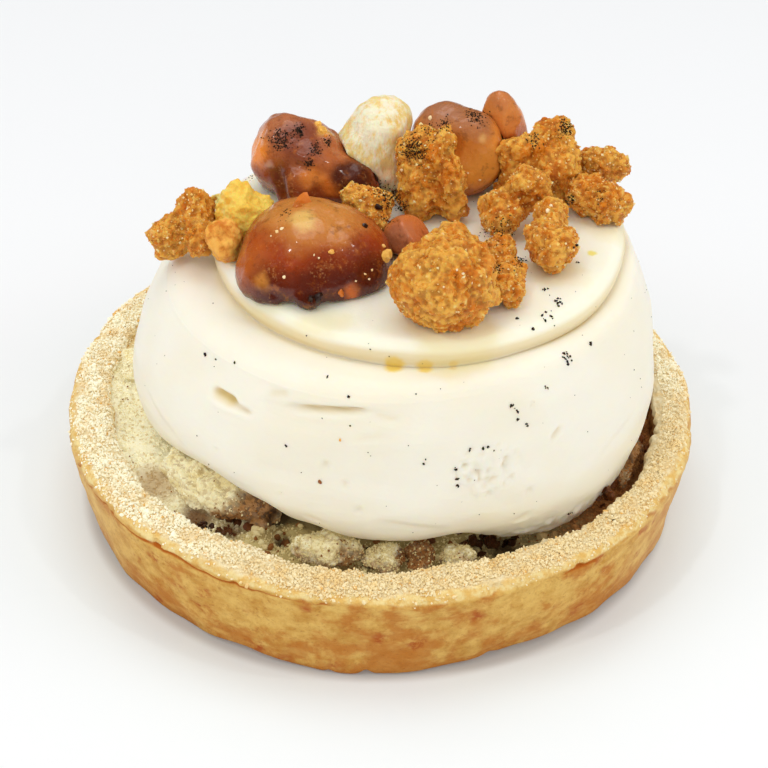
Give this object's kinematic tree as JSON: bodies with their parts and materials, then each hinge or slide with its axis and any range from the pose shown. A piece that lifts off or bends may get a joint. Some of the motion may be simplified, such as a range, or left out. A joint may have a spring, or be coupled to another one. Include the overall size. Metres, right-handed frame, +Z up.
{
  "type": "macadamia tart",
  "caption": "Round pastry tart with a nut filling, a tall two-turn mound of whipped cream, and caramelised nuts and crumble clusters heaped on top.",
  "frame": {"origin": "on the surface the tart stands on, under the middle of the pastry shell", "axes": "+Z up out of the table, -Y towards the side the picture shows, +X to that side's right"},
  "size_m": [0.0798, 0.0802, 0.0492],
  "materials": {
    "pastry": "baked golden pastry, mottled brown, dry, with a pale filed rim",
    "filling": "pale baked nut sponge, crumbly",
    "crumble": "pale crumble with browned undersides",
    "cream": "soft whipped cream with fine vanilla specks",
    "caramel_nut": "dark glossy caramel over macadamia",
    "toffee_nut": "orange-brown toffee over macadamia",
    "dusted_nut": "pale macadamia dusted with sugar",
    "golden_nut": "pale golden toffee, slightly translucent",
    "cluster": "golden caramelised crumb, rough and sugary",
    "vanilla": "black ground vanilla"
  },
  "bodies": {
    "root": {"tart_shell": "pastry", "nut_filling": "filling", "cream": "cream", "filling_crumble_1": "crumble", "filling_crumble_2": "crumble", "filling_crumble_3": "crumble", "filling_crumble_4": "crumble", "filling_crumble_5": "crumble", "filling_crumble_6": "crumble", "filling_crumble_7": "crumble", "filling_crumble_8": "crumble", "filling_crumble_9": "crumble", "nut_front": "caramel_nut", "nut_left": "caramel_nut", "nut_dusted": "dusted_nut", "cluster_middle": "cluster", "nut_back": "toffee_nut", "cluster_front": "cluster", "cluster_front_side": "cluster", "nut_chip": "toffee_nut", "cluster_small": "cluster", "cluster_right_drop": "cluster", "cluster_right_stick": "cluster", "cluster_right_bar": "cluster", "cluster_right_lump": "cluster", "cluster_right_bean": "cluster", "nut_wedge": "toffee_nut", "cluster_left": "cluster", "nut_pale": "golden_nut", "nut_sliver": "toffee_nut"}
  },
  "joints": []
}
